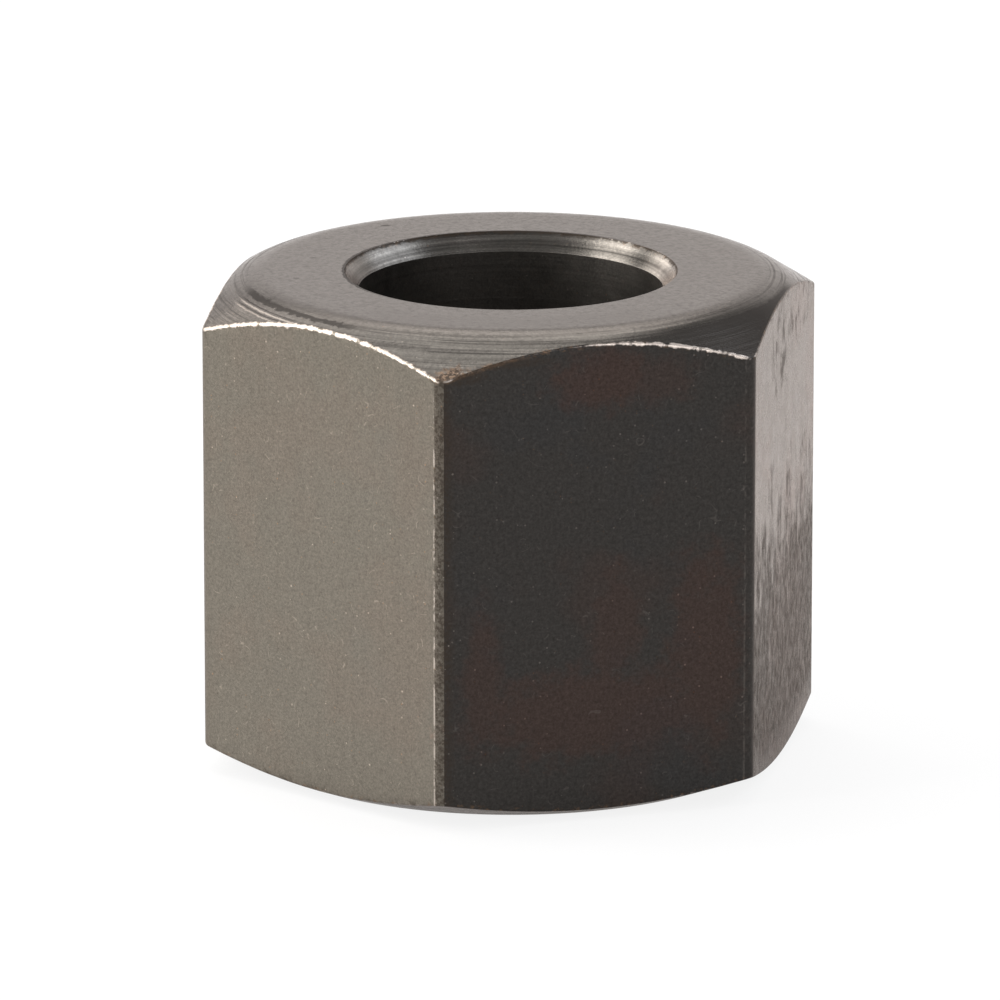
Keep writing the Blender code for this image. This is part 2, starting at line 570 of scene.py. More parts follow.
@dataclass(frozen=True)
class BlackOxide:
    """Black oxide on steel: near-black, mottled warm and cool, worn bright at the rims."""

    name: str
    level: float = 1.0
    sheen: float = 0.38
    neutral: Colour = (0.080, 0.0745, 0.068)
    warm: Colour = (0.107, 0.072, 0.060)
    cool: Colour = (0.072, 0.073, 0.073)
    bare: Colour = (0.54, 0.475, 0.425)
    bare_roughness: float = 0.36
    rust: Colour = (0.19, 0.11, 0.06)
    # The dull colour of grime, and of the painted shade that some finishes lay with it.
    grime_and_shade: Colour = (0.036, 0.028, 0.0225)
    glancing: Colour = (1.0, 0.94, 0.91)

    def paint(self, form: NutForm, wear: RimWear) -> bpy.types.Material:
        """Make the material: worn and blackened metal under patches of dull grime and painted shade.

        Args:
            form: the nut's sizes.
            wear: how its rims are worn.

        Returns:
            The material.
        """
        material = bpy.data.materials.new(self.name)
        material.use_nodes = True
        board = NodeBoard(material.node_tree)
        place = NutPlace(board, form, wear)
        colour = board.tint(self.ground(place), self.tone(place))
        colour = board.mix(self.rusty(place), colour, self.rust)
        worn = self.worn(place)
        colour = board.mix(worn, colour, self.bare)
        shine = self.roughness(place) * (1.0 - worn) + worn * self.bare_roughness
        bump = board.signal("ShaderNodeBump", {}, {
            "Strength": 1.0, "Distance": MM, "Height": self.relief(place)})
        metal = board.signal("ShaderNodeBsdfPrincipled", {}, {
            "Base Color": colour, "Roughness": shine, "Metallic": 1.0, "Normal": bump,
            "Specular Tint": (*self.glancing, 1.0)})
        dull = board.signal("ShaderNodeBsdfDiffuse", {}, {0: (*self.grime_and_shade, 1.0), "Normal": bump})
        share = self.dark(place) * (1.0 - worn)
        shader = board.signal("ShaderNodeMixShader", {}, {0: share, 1: metal, 2: dull})
        board.add("ShaderNodeOutputMaterial", {}, {0: shader})
        return material

    def ground(self, place: NutPlace) -> Signal:
        """Colour of the oxide: a fine mottle, and scattered pale and reddish specks."""
        mottle = place.clouds(4.5, 5.0, 0.72) * 0.5
        grain = place.clouds(10.0, 2.0, 0.6) * 0.85
        colour = place.board.tint(self.neutral, mottle + grain + 0.325)
        colour = place.board.mix(place.specks(4.2, 0.17, 0.16) * 0.5, colour, self.rust)
        return place.board.mix(place.specks(3.1, 0.15, 0.18) * 0.26, colour, self.bare)

    def tone(self, place: NutPlace) -> Operand:
        """Brightness of the oxide at each point."""
        return self.level

    def dark(self, place: NutPlace) -> Signal:
        """Share of dull dark grime, in small blots beside the rims."""
        blots = place.clouds(2.4, 4.0, 0.7).step(0.52, 0.64)
        return blots * place.rim_gap().step(0.42, 0.05) * 0.45

    def rusty(self, place: NutPlace) -> Signal:
        """Mask of orange-brown stain, in flecks that lie against the rims."""
        flecks = place.clouds(3.4, 4.0, 0.7).step(0.53, 0.64)
        return flecks * place.rim_gap().step(0.22, 0.03) * 0.45

    def worn(self, place: NutPlace) -> Signal:
        """Mask of bare metal along the rims, more at the nose than at the threaded end."""
        jagged = place.clouds(3.2, 3.0, 0.6) * 2.6 - 0.45
        height = place.z.step(4.0, 9.0) * 0.62 + 0.38
        reach = place.wear_here() * height * 0.13 * jagged
        return (reach - place.rim_gap()).step(-0.02, 0.05)

    def roughness(self, place: NutPlace) -> Signal:
        """Roughness of the oxide."""
        return place.clouds(1.3, 4.0, 0.65) * 0.16 + (self.sheen - 0.08)

    def relief(self, place: NutPlace) -> Signal:
        """Height of the oxide's grain, in millimetres."""
        return place.clouds(9.0, 3.0, 0.7) * 0.006


@dataclass(frozen=True)
class FlatLook:
    """How one flat looks, in shares of the oxide's usual look.

    The first colour, painted light and shade, multiplies its colour: it makes each flat lighter or darker
    by how the light falls on it. The sheen is its roughness.
    Blotches are warm and cool clouds, the streak share covers its lower part with dark streaks, partly
    painted shade low on the flat, grit is the strength of a coarse mottle, and the last number is painted
    shade that darkens it a little with each millimetre of height.
    """

    # Painted light and shade: a colour that makes this flat lighter or darker by how the light falls on it.
    painted_shading: Colour
    sheen: float
    blotches: float
    # Dark upright streaks over the lower part of the flat, partly painted shade low on the flat.
    streaks_and_low_shade: float
    grit: float = 0.0
    # Painted shade: a gradient that darkens the flat with each millimetre of height.
    fade: float = 0.0


@dataclass(frozen=True)
class CornerLook:
    """How strong the band of painted shade on an upright corner is, and the line of painted highlight
    beside it.
    """

    band: float
    line: float


@dataclass(frozen=True)
class DrawnFlats(BlackOxide):
    """The six flats, as the bar was drawn: fine upright grain, each flat with its own look and its own
    painted light and shade.
    """

    looks: tuple[FlatLook, ...] = (
        # Each look starts with its painted light and shade: the left flat painted light, the front flat
        # painted shade.
        FlatLook((1.92, 1.86, 1.71), 0.47, 0.10, 0.02, fade=0.006),
        FlatLook((0.441, 0.438, 0.450), 0.40, 0.35, 0.02, grit=1.1),
        FlatLook((1.15, 1.05, 0.98), 0.27, 0.50, 0.68, fade=0.012),
        FlatLook((0.85, 0.85, 0.85), 0.36, 0.60, 0.25),
        FlatLook((1.05, 1.02, 0.98), 0.40, 0.60, 0.15),
        FlatLook((0.75, 0.76, 0.78), 0.34, 0.60, 0.30),
    )
    # Painted shade and painted highlight at the rounded upright corners, strongest at the corner between
    # the left and front flats.
    corners: tuple[CornerLook, ...] = (
        CornerLook(0.10, 0.12), CornerLook(0.80, 0.70), CornerLook(0.05, 0.06),
        CornerLook(0.50, 0.30), CornerLook(0.60, 0.20), CornerLook(0.45, 0.35),
    )
    reddish: tuple[Spot, ...] = (
        Spot((0.2, -12.0, 19.2), (2.1, 1.0, 1.3)),
        Spot((2.6, -12.0, 19.0), (1.8, 1.0, 1.0), 0.6),
        Spot((0.0, -12.0, 4.7), (5.8, 1.0, 1.9), 0.9),
        Spot((0.8, -12.0, 8.4), (1.2, 1.0, 2.6), 0.8),
        Spot((4.9, -12.0, 7.0), (1.7, 1.0, 4.2), 0.9),
        Spot((-5.1, -12.0, 6.3), (0.9, 1.0, 3.0), 0.8),
        Spot((11.5, -5.5, 5.0), (2.5, 5.0, 6.0), 0.4),
        Spot((12.2, -4.0, 19.4), (1.4, 2.5, 1.5), 0.5),
    )
    bruises: tuple[Spot, ...] = (
        Spot((9.9, -6.9, 18.5), (1.3, 2.2, 1.9), 0.60),
        Spot((11.4, -4.3, 19.2), (0.8, 1.3, 1.2), 0.55),
        Spot((12.5, -2.3, 19.3), (0.8, 1.4, 0.9), 0.45),
        Spot((10.9, -5.1, 11.8), (0.6, 0.8, 1.8), 0.6),
        Spot((12.4, -2.6, 12.0), (0.5, 0.7, 1.8), 0.6),
        Spot((-3.0, 12.0, 15.0), (2.4, 1.0, 2.6), 0.25),
    )
    pale: tuple[Spot, ...] = (
        Spot((12.7, -2.0, 1.9), (1.1, 1.9, 1.5), 0.30),
        Spot((11.2, -4.6, 0.9), (1.3, 2.2, 0.7), 0.25),
    )
    scorched: tuple[Spot, ...] = (
        Spot((-6.1, -12.0, 19.72), (1.1, 0.9, 0.34), 0.8),
        Spot((-4.1, -12.0, 20.16), (2.0, 0.9, 0.20), 0.7),
    )
    middle_height: float = 10.0

    def by_flat(self, place: NutPlace, trait: str) -> Signal:
        """A trait of the looks, each on its own flat."""
        return place.by_sixth([getattr(look, trait) for look in self.looks])

    def by_corner(self, place: NutPlace, trait: str) -> Signal:
        """A trait of the corners, each round its own corner."""
        return place.by_sixth([getattr(corner, trait) for corner in self.corners], 0.5 / SIDES)

    def ground(self, place: NutPlace) -> Signal:
        """Add warm and cool blotches, the reddish patches of the front flat and hairline marks, a coarse
        mottle, and each flat's painted light and shade.
        """
        board = place.board
        share = self.by_flat(place, "blotches")
        warm = place.clouds(0.16, 4.0, 0.6).step(0.50, 0.66) * share
        cool = place.clouds(0.23, 4.0, 0.6).step(0.52, 0.66) * share
        ragged = place.clouds(1.1, 6.0, 0.75) * 2.2 - 1.1
        warm = warm.at_least(place.patches(self.reddish, ragged) * 0.80)
        colour = super().ground(place)
        for amount, hue in ((cool, self.cool), (warm, self.warm)):
            shift = tuple(part / plain for part, plain in zip(hue, self.neutral))
            colour = board.times(colour, board.mix(amount, (1.0, 1.0, 1.0), shift))
        hairs = abs(place.clouds(0.8, 1.0, 0.5) - 0.5).step(0.008, 0.002)
        some = place.clouds(2.2, 2.0, 0.5).step(0.58, 0.63)
        colour = board.mix(hairs * some * 0.10, colour, self.bare)
        # Painted light and shade, one colour for each flat, halved to fit the ramp.
        painted_shadings = place.by_sixth([tuple(part / 2 for part in look.painted_shading) for look in self.looks])
        grit = self.by_flat(place, "grit")
        return board.tint(board.times(colour, painted_shadings), (place.clouds(5.5, 3.0, 0.7) - 0.5) * grit + 1.0)

    def tone(self, place: NutPlace) -> Operand:
        """Brightness, with faint upright streaks and pale patches, painted shade a little darker at the
        foot, and painted shade that darkens some flats with height.

        The level is doubled, because the colours of painted light and shade are halved to fit their ramp.
        """
        streaks = place.clouds(2.6, 4.0, 0.65, 0.06)
        # Painted shade at the foot, within 2 millimetres of the floor.
        foot = place.z.step(0.3, 2.0) * 0.04 + 0.96
        # Painted shade: darker with height and lighter below the middle height, by each flat's share.
        rise = (self.middle_height - place.z) * self.by_flat(place, "fade") + 1.0
        lift = place.patches(self.pale, streaks * 1.2 - 0.6) + 1.0
        return (streaks * 0.12 + 0.94) * foot * rise * lift * (self.level * 2.0)

    def dark(self, place: NutPlace) -> Signal:
        """Add a grainy band of painted shade at each upright corner, bruises, and upright dark streaks
        lower down, partly painted shade.
        """
        grain = place.clouds(3.0, 5.0, 0.75, 0.6)
        past = place.past_corner()
        # Painted shade over each rounded upright corner, broken up by grain.
        band = past.step(-0.40, -0.33) * (past + grain * 0.9 - 0.45).step(0.75, 0.20)
        band = band * self.by_corner(place, "band")
        scorched = place.patches(self.scorched, grain * 2.0 - 1.0)
        grime_and_corner_shade = band.at_least(scorched) * (place.clouds(6.0, 3.0, 0.7).step(0.40, 0.60) * 0.6 + 0.4)
        marks = place.clouds(1.7, 4.0, 0.65, 0.45).step(0.45, 0.62)
        bruises = place.patches(self.bruises, grain * 1.6 - 0.8) * marks
        # Dark upright streaks that grow towards the foot: partly streaks, partly painted shade low on the
        # flat.
        limit = (place.z * 0.045).at_least(0.30)
        streaks = place.clouds(1.3, 4.0, 0.6, 0.30)
        streaked_low_shade = (streaks * 0.75 + grain * 0.25 - limit).step(-0.10, 0.14)
        streaked_low_shade = streaked_low_shade * (grain.step(0.34, 0.66) * 0.55 + 0.62)
        streaked_low_shade = streaked_low_shade * (place.rim_gap().step(0.1, 1.8) * 0.45 + 0.55)
        streaked_low_shade = streaked_low_shade * self.by_flat(place, "streaks_and_low_shade")
        return strongest([super().dark(place), grime_and_corner_shade, bruises, streaked_low_shade])

    def rusty(self, place: NutPlace) -> Signal:
        """Add brown flecks where the scorched patches meet the rim."""
        fray = place.fray()
        near = (place.rim_gap() + fray * 0.3).step(0.18, 0.04)
        return super().rusty(place).at_least(place.patches(self.scorched, fray * 2.0) * near * 0.5)

    def worn(self, place: NutPlace) -> Signal:
        """Add the thin broken line of painted highlight down each upright corner, and pale grains in its
        band.
        """
        beads = place.clouds(4.0, 4.0, 0.72, 0.5)
        past = place.past_corner()
        low = place.z.step(14.0, 7.0) * 0.07
        share = self.by_corner(place, "line")
        # Painted highlight: a broken bright line where each corner's rounding begins.
        line = abs(past + 0.38).step(0.07, 0.01) * (beads + low).step(0.47, 0.62) * share
        near = abs(past - 0.1).step(0.75, 0.3).at_least(place.patches(self.scorched, beads - 0.5))
        return strongest([super().worn(place), line, place.specks(5.0, 0.24, 0.30) * near * share * 0.5])

    def roughness(self, place: NutPlace) -> Signal:
        """Roughness of each flat."""
        return super().roughness(place) - self.sheen + self.by_flat(place, "sheen")

    def relief(self, place: NutPlace) -> Signal:
        """Fine grain, and upright lines that drawing left."""
        return place.clouds(7.0, 3.0, 0.6, 0.10) * 0.002 + place.clouds(8.0, 3.0, 0.7) * 0.011


@dataclass(frozen=True)
class TurnedEnds(BlackOxide):
    """Both ends, faced and chamfered on the lathe: fine rings about the axis."""

    dark_lines_and_painted_shade: tuple[TurnedLine, ...] = (
        TurnedLine(11.50, 0.20, -163.0, 27.0, 0.75, 0.60, 0.55),
        TurnedLine(11.88, 0.045, -169.0, 15.0, 0.70, 0.1),
        TurnedLine(12.12, 0.04, -170.0, 13.0, 0.65, 0.1),
        # Painted shade: a dark reflection on the front-right chamfer near its corner.
        TurnedLine(12.75, 1.15, -49.0, 32.0, 0.72, 0.3, 0.8),
        TurnedLine(9.4, 1.3, -108.0, 50.0, 0.10, 0.3),
        TurnedLine(11.30, 0.10, -118.0, 20.0, 0.35, 0.9),
        TurnedLine(11.68, 0.035, -109.0, 19.0, 0.75),
        TurnedLine(12.30, 0.035, -114.0, 14.0, 0.75),
        TurnedLine(7.20, 0.10, 115.0, 110.0, 0.70, 0.25),
        TurnedLine(11.9, 0.04, 120.0, 40.0, 0.6),
    )
    # Painted highlights: the edges of turning marks catching the light.
    painted_glint_lines: tuple[TurnedLine, ...] = (
        TurnedLine(12.00, 0.055, -169.0, 15.0, 0.45, 0.12),
        TurnedLine(12.22, 0.045, -172.0, 11.0, 0.35, 0.12),
        TurnedLine(12.1, 0.03, 70.0, 30.0, 0.2, 0.1),
    )
    pits: tuple[Spot, ...] = (
        Spot((-2.71, 9.44, 21.15), (0.22, 0.14, 0.4), 0.6),
        Spot((-7.45, 4.66, 21.15), (0.16, 0.14, 0.4), 0.35),
        Spot((-9.21, 1.29, 21.15), (0.14, 0.18, 0.4), 0.35),
    )
    soot: tuple[Spot, ...] = (
        Spot((-6.5, -11.85, 19.7), (0.95, 0.5, 0.5), 0.80),
    )
    brown: Colour = (0.90, 0.68, 0.52)

    def ground(self, place: NutPlace) -> Signal:
        """Add a brown tint at the threaded end."""
        tint = place.board.mix(place.z.step(6.0, 3.0), (1.0, 1.0, 1.0), self.brown)
        return place.board.times(super().ground(place), tint)

    def tone(self, place: NutPlace) -> Operand:
        """Brightness, with the rings of the lathe tool, which show more on the chamfers, and painted shade
        that darkens the threaded end.
        """
        sloped = place.radius.step(10.7, 11.5)
        # Painted shade: the threaded end darker than the nose.
        top = place.z.step(5.0, 12.0) * 0.3 + 0.7
        return ((place.rings(5.5, 1.2) - 0.5) * (sloped * 1.1 + 0.25) + 1.0) * top * self.level

    def dark(self, place: NutPlace) -> Signal:
        """Add a faint mottle, dark rings and lines round the chamfers, painted shade on the front-right
        chamfer, soot, and pits in the face.
        """
        mottle = place.clouds(3.6, 5.0, 0.75).step(0.42, 0.70) * 0.26
        rings = place.rings(4.0, 1.6).step(0.48, 0.62) * place.radius.step(10.9, 11.3) * 0.40
        fray = place.fray()
        speckle = place.clouds(6.5, 3.0, 0.7).step(0.40, 0.56)
        return strongest([super().dark(place), mottle + rings, place.turned_lines(self.dark_lines_and_painted_shade, fray),
                          place.patches(self.pits, fray), place.patches(self.soot, fray * 2.8) * speckle])

    def rusty(self, place: NutPlace) -> Signal:
        """Add brown in the soot."""
        return super().rusty(place).at_least(place.patches(self.soot, place.fray() * 2.8) * 0.6)

    def worn(self, place: NutPlace) -> Signal:
        """Add painted highlights on turning marks round the chamfers, and pale grains in the soot."""
        fray = place.fray()
        grains = place.specks(5.5, 0.32, 0.45) * place.patches(self.soot, fray * 2.0) * 0.6
        return strongest([super().worn(place), place.turned_lines(self.painted_glint_lines, fray), grains])

    def relief(self, place: NutPlace) -> Signal:
        """Rings that the tool left, deeper on the chamfers, over a fine grain."""
        deep = place.radius.step(10.9, 11.6) * 0.012 + 0.003
        return place.rings(7.0, 0.6) * deep + place.clouds(8.0, 3.0, 0.7) * 0.006


@dataclass(frozen=True)
class BoredInside(BlackOxide):
    """The bore, the seating cone and the thread, with rings from the boring tool."""

    rim_height: float = 21.15
    chamfer_depth: float = 0.77

    def on_chamfer(self, place: NutPlace) -> Signal:
        """1 on the nose hole's chamfer and 0 below it."""
        foot = self.rim_height - self.chamfer_depth
        return place.z.step(foot - 0.03, foot + 0.05)

    def below_rim(self, place: NutPlace) -> Signal:
        """Distance from the height of the nose hole's rim."""
        return abs(place.z - self.rim_height)

    def bands(self, place: NutPlace) -> Signal:
        """Rings of the boring tool, a few of them across the nose hole's chamfer."""
        along = place.board.vector(place.z, place.radius, place.turn * 0.45)
        return place.board.clouds(along, 3.8, 3.0, 0.6)

    def tone(self, place: NutPlace) -> Operand:
        """Brightness, strongly ringed on the chamfer, with a painted highlight that raises the chamfer and
        a painted reflection that lightens one side of the bore.
        """
        chamfer = self.on_chamfer(place)
        rings = (self.bands(place) - 0.5) * (chamfer * 3.6 + 0.5) + 1.0
        # Painted reflection: one side of the bore, and less so of the chamfer, made brighter.
        side = place.turn.step(0.69, 0.58) * (1.0 - chamfer * 0.75) + 1.0
        # Painted highlight: the chamfer's colour raised by half.
        return rings.at_least(0.2) * (chamfer * 0.50 + 1.00) * side * self.level

    def dark(self, place: NutPlace) -> Signal:
        """Brown grime in a broken line against the nose hole's rim, and a faint mottle."""
        flecks = place.clouds(2.6, 4.0, 0.7)
        line = (self.below_rim(place) + flecks * 0.36).step(0.33, 0.20) * 0.85
        return line.at_least(flecks.step(0.50, 0.66) * 0.2)

    def rusty(self, place: NutPlace) -> Signal:
        """Brown flecks beside the nose hole's rim."""
        return place.clouds(3.0, 4.0, 0.7).step(0.52, 0.62) * self.below_rim(place).step(0.22, 0.02) * 0.4

    def worn(self, place: NutPlace) -> Signal:
        """A few bright flecks on the nose hole's rim."""
        return (place.clouds(3.8, 4.0, 0.7) * self.below_rim(place).step(0.10, 0.0)).step(0.54, 0.64) * 0.6

    def roughness(self, place: NutPlace) -> Signal:
        """Roughness, lower on the nose hole's chamfer."""
        return super().roughness(place) - self.on_chamfer(place) * 0.14

    def relief(self, place: NutPlace) -> Signal:
        """Rings along the bore."""
        return self.bands(place) * 0.010 + place.clouds(8.0, 3.0, 0.7) * 0.005


@dataclass
class ColletNut:
    """The nut's fine skin, which stands in for the plain solid.

    Towards each rim, the rows of a chamfer leave the circle and follow the hexagon. They begin to
    do so inside the flats by the nose's ease or the end's.
    """

    form: NutForm
    wear: RimWear = field(default_factory=RimWear)
    steps_on_flat: int = 84
    steps_on_corner: int = 12
    bore_share: int = 3
    rows_on_flat: int = 56
    rows_on_rim: int = 6
    face_rows: int = 6
    blend_rows: int = 7
    end_rows: int = 4
    seat_rows: int = 11
    land_rows: int = 6
    thread_rows: tuple[float, ...] = (0.0, 0.02, 0.125, 0.23, 0.25, 0.32, 0.40, 0.47, 0.5425,
                                      0.5625, 0.625, 0.6875, 0.7075, 0.78, 0.85, 0.92, 0.98)
    rim_size: float = 0.06 * MM
    rim_growth: float = 0.09 * MM
    nose_ease: float = 0.45 * MM
    end_ease: float = 0.6 * MM
    softened: float = 0.06 * MM
    end_seed: float = 40.0
    smooth_below: float = math.radians(28.0)

    def build(self) -> bpy.types.Object:
        """Make the skin, dress it and put it in the solid's place.

        Returns:
            The piece.
        """
        angles = self.directions()
        skin = Skin(angles)
        nose, end = self.outside(skin, angles)
        self.inside(skin, nose, end)
        piece = skin.to_object("collet_nut_skin", self.smooth_below)
        for finish in self.finishes():
            piece.data.materials.append(finish.paint(self.form, self.wear))
        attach(piece, "root")
        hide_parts(NODE)
        return piece

    def finishes(self) -> tuple[BlackOxide, ...]:
        """One finish for each region, in the regions' order."""
        form = self.form
        return (DrawnFlats("drawn_flats"),
                # The ends' dull colour is neutral grey, for their grime and their painted shade.
                TurnedEnds("turned_ends", 1.25, 0.21, grime_and_shade=(0.034, 0.0305, 0.0285)),
                BoredInside("bored_inside", rim_height=form.height / MM,
                            chamfer_depth=form.bore_chamfer_depth / MM))

    def directions(self) -> np.ndarray:
        """Directions about the axis: even steps along each flat and fine ones round each corner."""
        form = self.form
        reach = (form.half_flats - form.corner_radius) * math.tan(HALF_SECTOR)
        along = np.linspace(-reach, reach, self.steps_on_flat + 1)
        flat = np.arctan2(along, form.half_flats) + HALF_SECTOR
        corner = np.linspace(flat[-1] - SECTOR, flat[0], self.steps_on_corner + 1)[1:-1]
        sector = np.concatenate([flat, corner + SECTOR])
        turns = [sector + index * SECTOR for index in range(SIDES)]
        return np.concatenate(turns) - math.pi

    def rim_reach(self, angles: np.ndarray, heights: np.ndarray, seed: float) -> np.ndarray:
        """How far each rim is rounded off, more where it is worn and in chance nicks.

        Args:
            angles: directions about the axis.
            heights: the rim's height in each direction.
            seed: moves the chance pattern.

        Returns:
            The length that the rounding takes off each side of the rim.
        """
        radii = self.form.outline(angles) / MM
        worn = self.wear.at(angles)
        reach = np.empty(len(angles))
        for index, (angle, radius, height) in enumerate(zip(angles, radii, heights / MM)):
            place = Vector((radius * math.cos(angle), radius * math.sin(angle), height + seed))
            coarse = 0.45 * noise.noise(place * 1.1)
            fine = 0.35 * noise.noise(place * 3.7)
            nick = 1.6 * max(noise.noise(place * 2.3 + Vector((5.0, 0.0, 0.0))) - 0.32, 0.0)
            share = 0.55 + coarse + fine + nick
            reach[index] = self.rim_size + self.rim_growth * worn[index] * max(share, 0.0)
        return reach

    def outside(self, skin: Skin, angles: np.ndarray) -> tuple[list[int], list[int]]:
        """Lay the ends, the chamfers, the rims and the flats.

        Args:
            skin: takes the rings.
            angles: directions about the axis.

        Returns:
            The rings round the nose hole's chamfer and round the mouth of the thread.
        """
        form = self.form
        outline = form.outline(angles)
        nose_rim = form.nose_height(outline)
        end_rim = form.end.drop(outline)
        nose_reach = self.rim_reach(angles, nose_rim, 0.0)
        end_reach = self.rim_reach(angles, end_rim, self.end_seed)
        nose_inner = outline - nose_reach * math.cos(form.nose.slope)
        end_inner = outline - end_reach * math.cos(form.end.slope)
        top, bottom = nose_rim - nose_reach, end_rim + end_reach
        nose_last, end_last = form.half_flats - self.nose_ease, form.half_flats - self.end_ease
        hole = form.bore_radius + form.bore_chamfer_width

        shares = np.linspace(0.0, 1.0, self.blend_rows + 1)
        nose_radii = [*np.linspace(hole, form.nose.face, self.face_rows + 1)[1:],
                      *np.linspace(form.nose.face, nose_last, self.blend_rows + 1)[1:],
                      *(nose_last + (nose_inner - nose_last) * share for share in shares[1:])]
        end_radii = [*(end_last + (end_inner - end_last) * share for share in shares[-2::-1]),
                     *np.linspace(end_last, form.end.face, self.end_rows + 1)[1:]]

        rows: list[Row] = [(radius, form.nose_height(radius), Region.ENDS) for radius in nose_radii]
        rows += self.rounded_rim(outline, nose_inner, form.nose_height(nose_inner), nose_rim, top)
        for share in np.linspace(0.0, 1.0, self.rows_on_flat + 1)[1:-1]:
            rows.append((outline, top + (bottom - top) * share, Region.FLATS))
        rows += reversed(self.rounded_rim(outline, end_inner, form.end.drop(end_inner), end_rim, bottom))
        rows += [(radius, form.end.drop(radius), Region.ENDS) for radius in end_radii]

        rings = [skin.ring(radius, height) for radius, height, _ in rows]
        for (upper, lower, (_, _, region)) in zip(rings, rings[1:], rows[1:]):
            skin.join(upper, lower, region)
        nose = skin.ring(hole, form.height, self.bore_share)
        end = skin.ring(form.mouth_radius, 0.0, self.bore_share)
        skin.stitch(rings[0], nose, Region.ENDS)
        skin.stitch(rings[-1], end, Region.ENDS)
        return nose, end

    def rounded_rim(self, outline: np.ndarray, inner: np.ndarray, inner_height: np.ndarray,
                    corner_height: np.ndarray, outer_height: np.ndarray) -> list[Row]:
        """Rows of a rim rounded from the chamfer to the flat.

        Args:
            outline: the flat's distance from the axis.
            inner: where the rounding leaves the chamfer.
            inner_height: the chamfer's height there.
            corner_height: height of the sharp rim.
            outer_height: where the rounding meets the flat.

        Returns:
            Each row's radii, heights and region, from the chamfer outwards.
        """
        rows = []
        for share in np.linspace(0.0, 1.0, self.rows_on_rim + 1)[1:]:
            near, middle, far = (1 - share) ** 2, 2 * share * (1 - share), share ** 2
            radius = near * inner + (middle + far) * outline
            height = near * inner_height + middle * corner_height + far * outer_height
            rows.append((radius, height, Region.FLATS))
        return rows

    def inside(self, skin: Skin, nose: list[int], end: list[int]) -> None:
        """Lay the thread, the groove, the seating cone, the land and the nose hole's chamfer."""
        form = self.form
        groove_bottom = form.seat_bottom - form.groove_width
        thread_end = self.thread(skin, end, groove_bottom)
        land_top = form.height - form.bore_chamfer_depth
        seat_top = land_top - form.bore_land
        profile = [
            (form.groove_radius, form.seat_bottom - self.softened),
            (form.groove_radius - self.softened, form.seat_bottom),
            (form.seat_radius + self.softened, form.seat_bottom),
            (form.seat_radius, form.seat_bottom + self.softened),
        ]
        for share in np.linspace(0.0, 1.0, self.seat_rows + 1)[1:]:
            radius = form.seat_radius + (form.bore_radius - form.seat_radius) * share
            profile.append((radius, form.seat_bottom + (seat_top - form.seat_bottom) * share))
        for share in np.linspace(0.0, 1.0, self.land_rows + 1)[1:]:
            profile.append((form.bore_radius, seat_top + (land_top - seat_top) * share))
        for share in (0.3, 0.6, 0.9, 0.97):
            profile.append((form.bore_radius + form.bore_chamfer_width * share,
                            land_top + form.bore_chamfer_depth * share))
        below = thread_end
        for radius, height in profile:
            above = skin.ring(radius, height, self.bore_share)
            skin.join(below, above, Region.BORE)
            below = above
        skin.join(below, nose, Region.BORE)

    def thread(self, skin: Skin, end: list[int], top: float) -> list[int]:
        """Lay a helical thread between its mouth and the groove.

        The rows climb with the helix, so that they follow its crests. Rows that would pass the
        mouth or the groove are held there, and the points that then coincide are merged.

        Args:
            skin: takes the points.
            end: the ring at the mouth.
            top: height of the groove's lower edge.

        Returns:
            The ring at the groove's lower edge.
        """
        form = self.form
        angles = skin.angles[::self.bore_share]
        turn = (angles - angles[0]) / math.tau
        per_turn = len(self.thread_rows)
        turns = int(math.ceil(top / form.thread_pitch)) + 2
        chamfer = form.groove_radius - form.thread_minor_radius
        rows = []
        for lap in range(-1, turns):
            for phase in self.thread_rows:
                raw = (lap + phase + turn) * form.thread_pitch
                height = np.clip(raw, 0.0, top)
                cut = form.thread_wall(height / form.thread_pitch - turn)
                mouth = form.mouth_radius - height
                runout = form.thread_minor_radius + (height - (top - chamfer))
                rows.append(skin.ring(np.maximum.reduce([cut, mouth, runout]), height, self.bore_share))
        count = len(angles)
        for lower, upper in zip(rows, rows[1:]):
            for index in range(count - 1):
                skin.face((lower[index], lower[index + 1], upper[index + 1], upper[index]), Region.BORE)
        for number in range(len(rows) - per_turn - 1):
            lower, upper = rows[number], rows[number + 1]
            lower_next, upper_next = rows[number + per_turn], rows[number + per_turn + 1]
            skin.face((lower[-1], lower_next[0], upper_next[0], upper[-1]), Region.BORE)
        return rows[-1]


@dataclass(frozen=True)
class SoftBox:
    """A soft lamp, placed by how far it is to the right of the nut, beyond it and above it."""

    name: str
    right: float
    beyond: float
    above: float
    width: float
    height: float
    radiance: float
    colour: Colour = (1.0, 1.0, 1.0)
    level: bool = False

    def place(self, target: Vector, azimuth: float) -> bpy.types.Object:
        """Put the lamp in the scene, facing the nut, or straight down where it is level.

        Args:
            target: the nut's middle.
            azimuth: direction in which the camera looks, in radians.

        Returns:
            The lamp.
        """
        lamp = bpy.data.lights.new(self.name, "AREA")
        lamp.shape = "RECTANGLE"
        lamp.size = self.width
        lamp.size_y = self.height
        lamp.color = self.colour
        lamp.energy = self.radiance * math.pi * self.width * self.height
        item = bpy.data.objects.new(self.name, lamp)
        turned = Matrix.Rotation(azimuth - math.pi / 2, 3, "Z")
        away = turned @ Vector((self.right, self.beyond, self.above))
        item.location = target + away
        aim = turned.to_quaternion() if self.level else away.to_track_quat("Z", "Y")
        item.rotation_euler = aim.to_euler()
        item.visible_camera = False
        bpy.context.scene.collection.objects.link(item)
        return item


